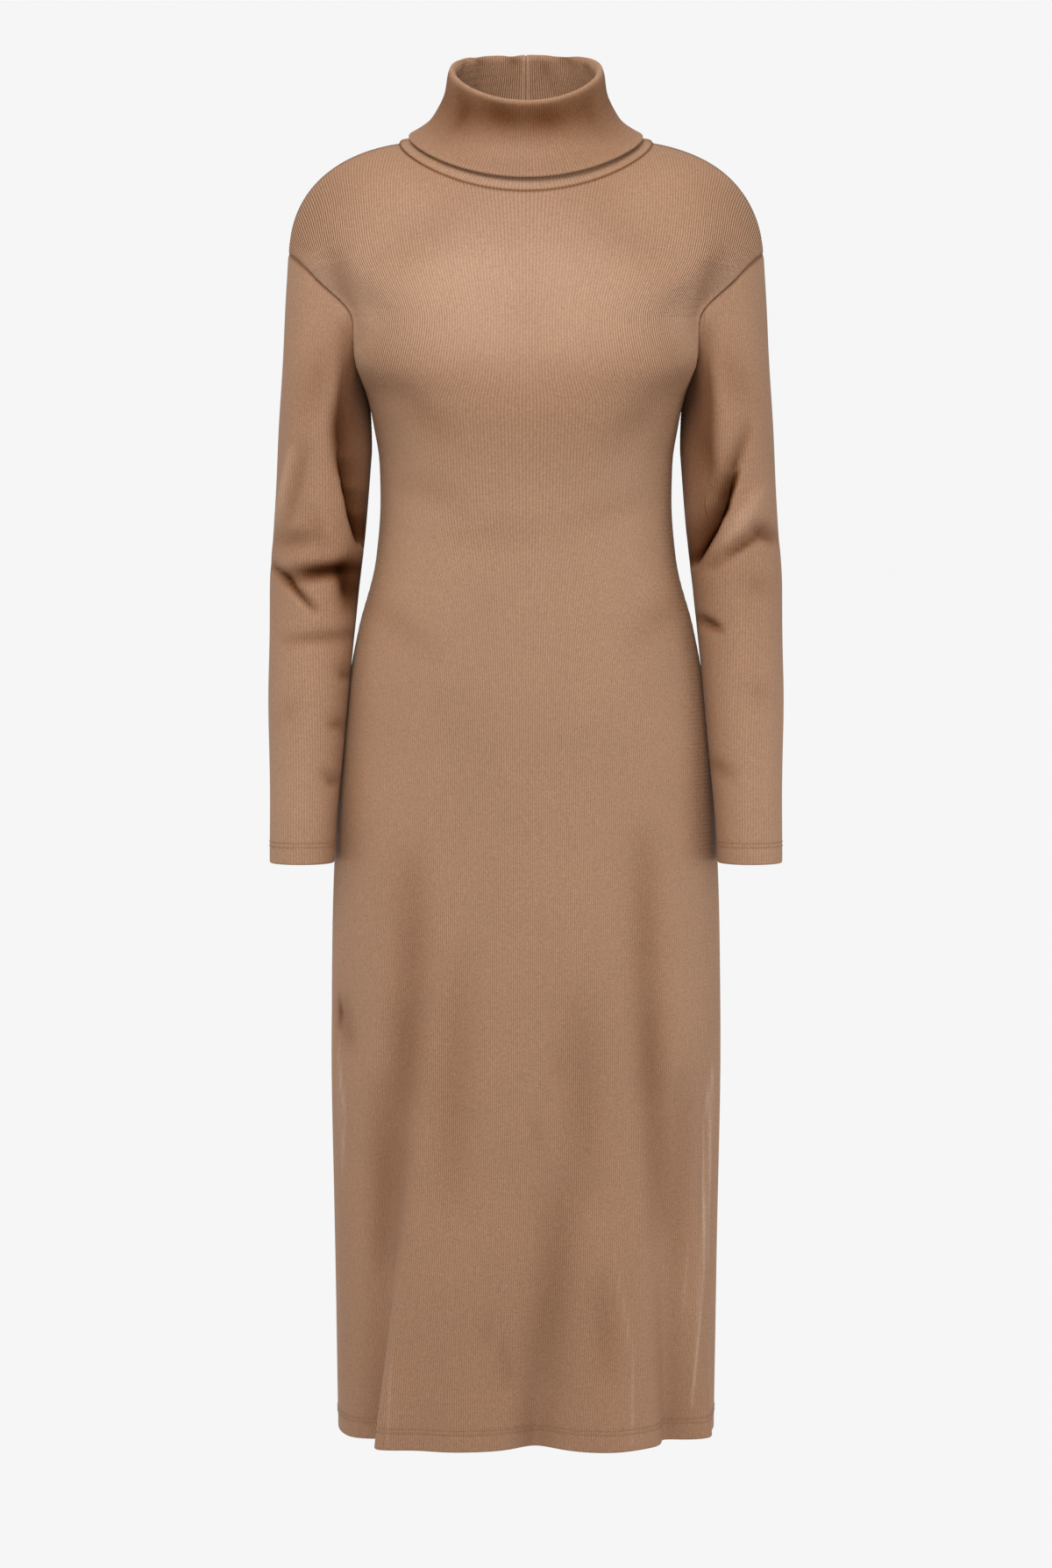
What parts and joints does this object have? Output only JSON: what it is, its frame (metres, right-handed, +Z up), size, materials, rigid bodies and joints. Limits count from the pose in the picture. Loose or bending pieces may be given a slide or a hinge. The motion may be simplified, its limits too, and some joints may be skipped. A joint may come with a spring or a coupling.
{
  "type": "sweater dress",
  "caption": "Long-sleeved midi dress in fine-rib knit with a folded roll neck, dropped shoulders, a fitted waist and a softly folded skirt, filled out and open at neck, cuffs and hem",
  "frame": {"origin": "midway between the two neck points, where the shoulder seams meet the neck seam, inside the open neck", "axes": "+Z up along the dress, +X to the wearer's left, and the front faces -Y"},
  "size_m": [0.4588, 0.2548, 1.2401],
  "materials": {
    "front": "camel fine-rib knit, matt and slightly brushed",
    "back": "camel fine-rib knit, matt and slightly brushed",
    "sleeve_left": "camel fine-rib knit, matt and slightly brushed",
    "sleeve_right": "camel fine-rib knit, matt and slightly brushed",
    "roll_neck": "camel fine-rib knit, matt and slightly brushed"
  },
  "bodies": {
    "root": {"front": "front", "back": "back", "sleeve_left": "sleeve_left", "sleeve_right": "sleeve_right", "roll_neck": "roll_neck"}
  },
  "joints": []
}
